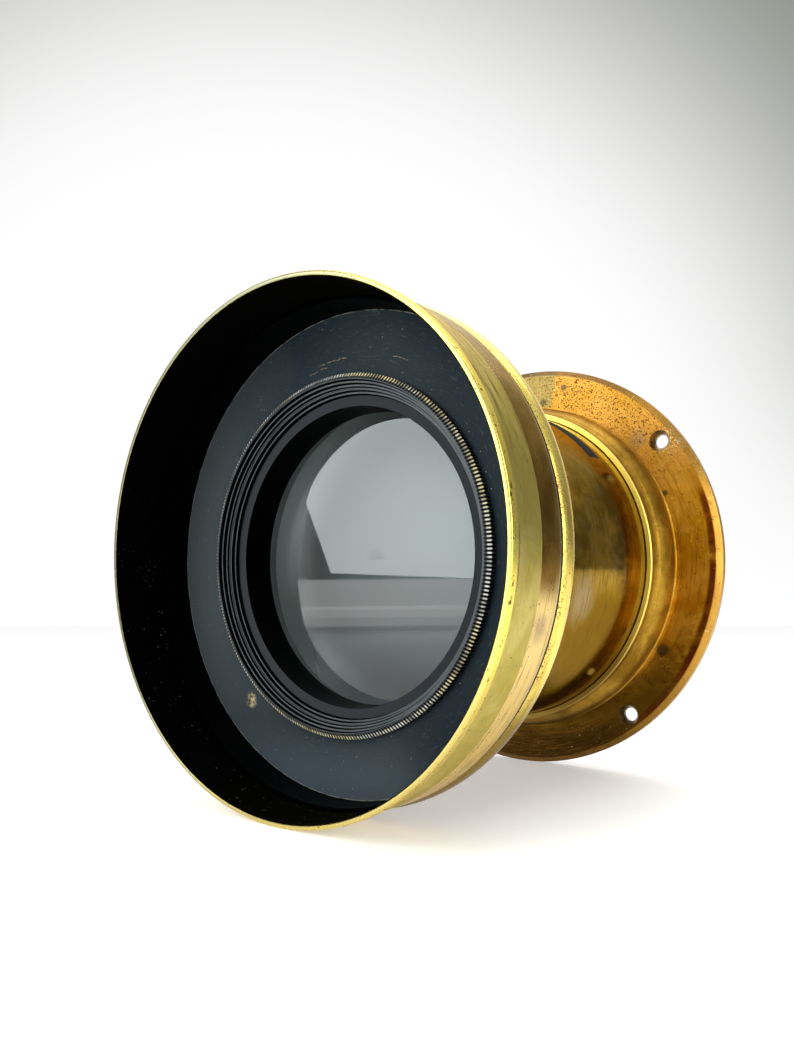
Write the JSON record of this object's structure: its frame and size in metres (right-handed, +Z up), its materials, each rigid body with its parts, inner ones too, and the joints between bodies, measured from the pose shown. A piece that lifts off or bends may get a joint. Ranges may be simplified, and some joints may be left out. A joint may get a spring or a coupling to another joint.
{
  "type": "antique enlarger lens",
  "caption": "Antique brass enlarging lens with a round mounting flange, a slotted barrel, a wide push-on hood and a deep-set front glass.",
  "frame": {"origin": "centre of the flange's flat rear seat, on the optical axis", "axes": "+Z up with the stop slot on top, the optical axis along Y, the front of the lens towards -Y"},
  "size_m": [0.114, 0.1111, 0.114],
  "materials": {
    "flange_brass": "aged golden-orange lacquer with dark pits and worn edges",
    "barrel_brass": "dark mottled brown lacquer, satin to glossy",
    "cell_brass": "worn lacquered brass, blackened inside",
    "hood_brass": "worn pale brass with brown lacquer bands, blackened inside",
    "blackened_brass": "satin black with fine turning marks",
    "optical_glass": "polished clear glass"
  },
  "bodies": {
    "flange": {"mounting_flange": "flange_brass"},
    "barrel": {"barrel_tube": "barrel_brass", "slot_guide_rear": "blackened_brass", "stop_guide_spacer": "blackened_brass", "slot_guide_front": "blackened_brass"},
    "front_cell": {"front_cell": "cell_brass", "front_floor_plate": "blackened_brass", "front_crown_element": "optical_glass", "front_flint_element": "optical_glass"},
    "front_ring": {"front_retaining_ring": "blackened_brass"},
    "hood": {"hood_tube": "hood_brass"},
    "rear_cell": {"rear_cell": "cell_brass", "rear_flint_element": "optical_glass", "rear_spacer_ring": "blackened_brass", "rear_crown_element": "optical_glass"},
    "rear_ring": {"rear_retaining_ring": "blackened_brass"}
  },
  "joints": [
    {"name": "barrel_turn", "type": "hinge", "parent": "flange", "child": "barrel", "pos_m": [0, 0, 0], "axis": [0, -1, 0], "range_deg": [0, 360]},
    {"name": "front_cell_turn", "type": "hinge", "parent": "barrel", "child": "front_cell", "pos_m": [0, 0, 0], "axis": [0, -1, 0], "range_deg": [0, 360]},
    {"name": "front_ring_turn", "type": "hinge", "parent": "front_cell", "child": "front_ring", "pos_m": [0, 0, 0], "axis": [0, -1, 0], "range_deg": [0, 360]},
    {"name": "hood_slide", "type": "slide", "parent": "front_cell", "child": "hood", "axis": [0, -1, 0], "range_m": [0, 0.0045]},
    {"name": "rear_cell_turn", "type": "hinge", "parent": "barrel", "child": "rear_cell", "pos_m": [0, 0, 0], "axis": [0, 1, 0], "range_deg": [0, 360]},
    {"name": "rear_ring_turn", "type": "hinge", "parent": "rear_cell", "child": "rear_ring", "pos_m": [0, 0, 0], "axis": [0, 1, 0], "range_deg": [0, 360]}
  ]
}
